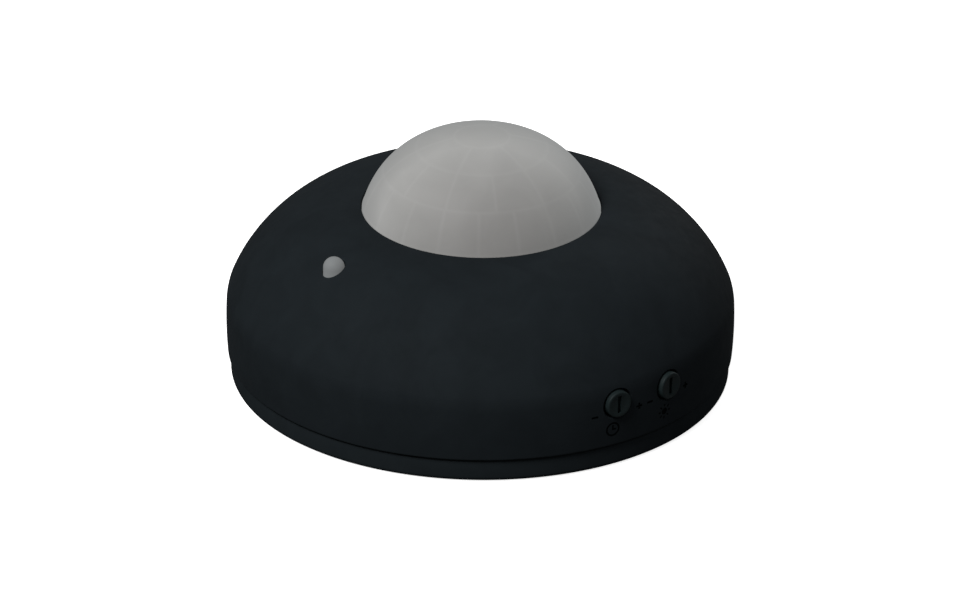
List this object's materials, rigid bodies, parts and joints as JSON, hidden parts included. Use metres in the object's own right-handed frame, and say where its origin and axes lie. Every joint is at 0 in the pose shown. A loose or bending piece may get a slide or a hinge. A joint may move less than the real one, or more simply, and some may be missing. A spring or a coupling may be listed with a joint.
{
  "type": "ceiling motion sensor module",
  "caption": "Domed ceiling motion sensor: a round black head with a frosted segmented lens, light-guide pin and side adjusters, twist-locked onto a flat base plate.",
  "frame": {"origin": "centre of the base plate's mounting face", "axes": "+Z along the dome's axis, away from the mounting surface; -Y between the two adjusters; -X through the light-guide pin"},
  "size_m": [0.115, 0.1157, 0.0583],
  "materials": {
    "housing_black": "satin",
    "base_black": "matt",
    "lens_frosted": "frosted",
    "guide_grey": "satin translucent",
    "knob_black": "satin",
    "plastic_grey": "matt",
    "steel": "plated",
    "board_green": "solder mask",
    "nylon_white": "matt",
    "component_black": "matt",
    "glass_dark": "polished",
    "relay_blue": "satin",
    "capacitor_yellow": "satin",
    "ceramic_blue": "epoxy dipped",
    "trimmer_blue": "satin",
    "terminal_green": "satin",
    "brass": "plated",
    "lamp_red": "clear tinted"
  },
  "bodies": {
    "base": {"base_plate": "base_black"},
    "head": {"housing": "housing_black", "fresnel_lens": "lens_frosted", "light_guide": "guide_grey", "lens_retainer": "plastic_grey", "retainer_screw_1": "steel", "retainer_screw_2": "steel", "retainer_screw_3": "steel", "board_screw_1": "steel", "board_screw_2": "steel", "board_screw_3": "steel", "terminal_screw_1": "steel", "terminal_screw_2": "steel", "terminal_screw_3": "steel", "pyro_sensor": "steel", "main_board": "board_green", "sensor_board": "board_green", "sensor_standoff_1": "nylon_white", "sensor_standoff_2": "nylon_white", "pyro_seat": "nylon_white", "board_link": "component_black", "bridge_rectifier": "component_black", "controller_chip": "component_black", "smoothing_capacitor": "component_black", "supply_capacitor": "component_black", "fuse": "component_black", "pyro_window": "glass_dark", "photocell": "glass_dark", "relay": "relay_blue", "mains_capacitor": "capacitor_yellow", "varistor": "ceramic_blue", "time_trimmer": "trimmer_blue", "lux_trimmer": "trimmer_blue", "terminal_block": "terminal_green", "terminal_clamp_1": "brass", "terminal_clamp_2": "brass", "terminal_clamp_3": "brass", "indicator_light": "lamp_red"},
    "time_adjuster": {"time_knob": "knob_black", "time_rotor": "nylon_white"},
    "lux_adjuster": {"lux_knob": "knob_black", "lux_rotor": "nylon_white"}
  },
  "joints": [
    {"name": "head_twist", "type": "hinge", "parent": "base", "child": "head", "pos_m": [0, 0, 0.007], "axis": [0, 0, 1], "range_deg": [0, 15]},
    {"name": "time_turn", "type": "hinge", "parent": "head", "child": "time_adjuster", "pos_m": [-0.00671, -0.05711, 0.0158], "axis": [-0.1167, -0.9932, 0], "range_deg": [-135, 135]},
    {"name": "lux_turn", "type": "hinge", "parent": "head", "child": "lux_adjuster", "pos_m": [0.008, -0.05694, 0.0158], "axis": [0.1392, -0.9903, 0], "range_deg": [-135, 135]}
  ]
}
